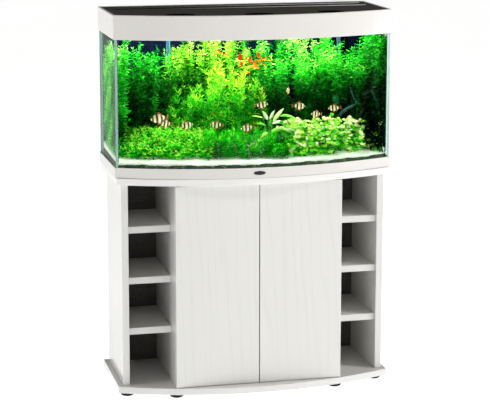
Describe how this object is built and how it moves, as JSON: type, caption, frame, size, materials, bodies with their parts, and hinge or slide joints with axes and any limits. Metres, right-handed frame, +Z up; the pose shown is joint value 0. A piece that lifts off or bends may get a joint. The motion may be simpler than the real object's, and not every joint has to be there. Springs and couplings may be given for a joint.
{
  "type": "aquarium on stand",
  "caption": "Bow-front glass aquarium with a white hood and flapped lid, on a white stand with two doors and open side shelves.",
  "frame": {"origin": "on the floor, at the middle of the bounding box's underside", "axes": "+X to the viewer's right, +Y to the flat back, -Y to the bowed front, +Z up"},
  "size_m": [0.92, 0.42, 1.252],
  "materials": {
    "white_board": "glossy white, with a faint embossed wood grain",
    "white_plastic": "glossy",
    "back_board": "matt",
    "black_rubber": "matt",
    "lid_plastic": "satin",
    "glass": "clear, with a green tint at its edges",
    "film": "satin",
    "steel": "nickel plated",
    "latch_plastic": "matt",
    "aluminium": "satin",
    "tube_white": "opal",
    "filter_plastic": "matt",
    "sponge": "open foam",
    "sand": "fine and matt",
    "plant_green": "matt leaves"
  },
  "bodies": {
    "cabinet_and_tank": {"base_panel": "white_board", "top_panel": "white_board", "side_panel_left": "white_board", "side_panel_right": "white_board", "divider_left": "white_board", "divider_right": "white_board", "shelf_left_1": "white_board", "shelf_left_2": "white_board", "shelf_left_3": "white_board", "shelf_right_1": "white_board", "shelf_right_2": "white_board", "shelf_right_3": "white_board", "back_panel": "back_board", "foot_front_left_outer": "black_rubber", "foot_front_left_inner": "black_rubber", "foot_front_right_outer": "black_rubber", "foot_front_right_inner": "black_rubber", "foot_rear_left_outer": "black_rubber", "foot_rear_left_inner": "black_rubber", "foot_rear_right_outer": "black_rubber", "foot_rear_right_inner": "black_rubber", "hinge_arm_left_lower": "steel", "hinge_arm_left_upper": "steel", "latch_body_left": "latch_plastic", "glass_left": "glass", "glass_pipe_left": "glass", "plants_left": "plant_green", "hinge_arm_right_lower": "steel", "hinge_arm_right_upper": "steel", "latch_body_right": "latch_plastic", "glass_right": "glass", "glass_pipe_right": "glass", "plants_right": "plant_green", "glass_front": "glass", "glass_back": "glass", "glass_bottom": "glass", "heater": "glass", "plants_centre": "plant_green", "bottom_frame": "white_plastic", "background_film": "film", "filter_housing": "filter_plastic", "filter_pump": "filter_plastic", "filter_media": "sponge", "substrate": "sand"},
    "hood": {"hood_shell": "white_plastic", "lid_frame": "lid_plastic", "light_bar": "aluminium", "light_tube_front": "tube_white", "light_tube_rear": "tube_white"},
    "flap_left": {"lid_flap_left": "lid_plastic"},
    "flap_centre": {"lid_flap_centre": "lid_plastic"},
    "flap_right": {"lid_flap_right": "lid_plastic"},
    "door_left": {"door_left": "white_board", "hinge_cup_left_lower": "steel", "hinge_cup_left_upper": "steel"},
    "plunger_left": {"latch_plunger_left": "latch_plastic"},
    "door_right": {"door_right": "white_board", "hinge_cup_right_lower": "steel", "hinge_cup_right_upper": "steel"},
    "plunger_right": {"latch_plunger_right": "latch_plastic"}
  },
  "joints": [
    {"name": "door_left_hinge", "type": "hinge", "parent": "cabinet_and_tank", "child": "door_left", "pos_m": [-0.2765, -0.1555, 0.374], "axis": [0, 0, -1], "range_deg": [0, 110]},
    {"name": "door_right_hinge", "type": "hinge", "parent": "cabinet_and_tank", "child": "door_right", "pos_m": [0.2765, -0.1555, 0.374], "axis": [0, 0, 1], "range_deg": [0, 110]},
    {"name": "latch_left_push", "type": "slide", "parent": "cabinet_and_tank", "child": "plunger_left", "axis": [0, 1, 0], "range_m": [0, 0.004], "stiffness_N_per_m": 400},
    {"name": "latch_right_push", "type": "slide", "parent": "cabinet_and_tank", "child": "plunger_right", "axis": [0, 1, 0], "range_m": [0, 0.004], "stiffness_N_per_m": 400},
    {"name": "flap_left_hinge", "type": "hinge", "parent": "hood", "child": "flap_left", "pos_m": [-0.25067, 0.0605, 1.2506], "axis": [-1, 0, 0], "range_deg": [0, 100]},
    {"name": "flap_centre_hinge", "type": "hinge", "parent": "hood", "child": "flap_centre", "pos_m": [0, 0.0605, 1.2506], "axis": [-1, 0, 0], "range_deg": [0, 100]},
    {"name": "flap_right_hinge", "type": "hinge", "parent": "hood", "child": "flap_right", "pos_m": [0.25067, 0.0605, 1.2506], "axis": [-1, 0, 0], "range_deg": [0, 100]},
    {"name": "hood_lift", "type": "slide", "parent": "cabinet_and_tank", "child": "hood", "axis": [0, 0, 1], "range_m": [0, 0.12]}
  ]
}
